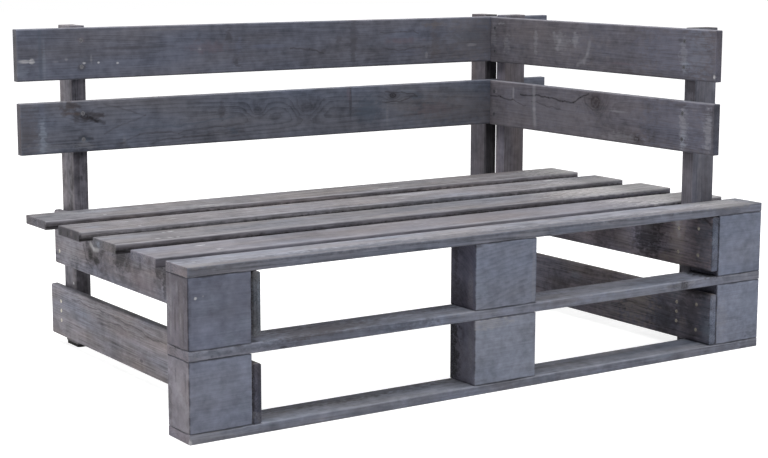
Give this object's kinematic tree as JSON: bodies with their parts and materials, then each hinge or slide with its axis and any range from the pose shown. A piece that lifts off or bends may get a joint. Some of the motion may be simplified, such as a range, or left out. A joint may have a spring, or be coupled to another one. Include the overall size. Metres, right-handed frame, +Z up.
{
  "type": "corner bench",
  "caption": "Low pallet-style corner bench: slatted seat on a front frame of boards and blocks, with a slatted back and a slatted right side on upright posts.",
  "frame": {"origin": "middle of the footprint at floor level, the centre of the bounding box's underside", "axes": "+X along the seat to the corner side (right as one faces the bench), +Y to the back, +Z up; the front faces -Y"},
  "size_m": [1.125, 0.706, 0.55],
  "materials": {
    "stained_wood_seat": "grey stain, matt, lengthwise grain and knots",
    "stained_wood_frame": "blue-grey stain, matt, grain and knots",
    "stained_wood_back": "dark grey stain, matt, grain and knots",
    "zinc_steel": "zinc-plated nails and screws, dull",
    "black_plastic": "matt black moulded plastic"
  },
  "bodies": {
    "root": {"seat_slat_1": "stained_wood_seat", "seat_slat_2": "stained_wood_seat", "seat_slat_3": "stained_wood_seat", "seat_slat_4": "stained_wood_seat", "seat_slat_5": "stained_wood_seat", "front_middle_board": "stained_wood_frame", "front_bottom_board": "stained_wood_frame", "block_left_upper": "stained_wood_frame", "block_left_lower": "stained_wood_frame", "block_centre_upper": "stained_wood_frame", "block_centre_lower": "stained_wood_frame", "block_right_upper": "stained_wood_frame", "block_right_lower": "stained_wood_frame", "apron_left_upper": "stained_wood_frame", "apron_left_lower": "stained_wood_frame", "apron_right_upper": "stained_wood_frame", "apron_right_lower": "stained_wood_frame", "post_back_left": "stained_wood_frame", "post_back_corner": "stained_wood_frame", "post_side_rear": "stained_wood_frame", "post_side_front": "stained_wood_frame", "back_board_upper": "stained_wood_back", "back_board_lower": "stained_wood_back", "side_board_upper": "stained_wood_back", "side_board_lower": "stained_wood_back", "foot_pad_back_left": "black_plastic", "foot_pad_back_corner": "black_plastic", "foot_pad_side_rear": "black_plastic", "foot_pad_side_front": "black_plastic", "slat_nails": "zinc_steel", "apron_nails": "zinc_steel", "back_board_screws": "zinc_steel", "side_board_screws": "zinc_steel"}
  },
  "joints": []
}
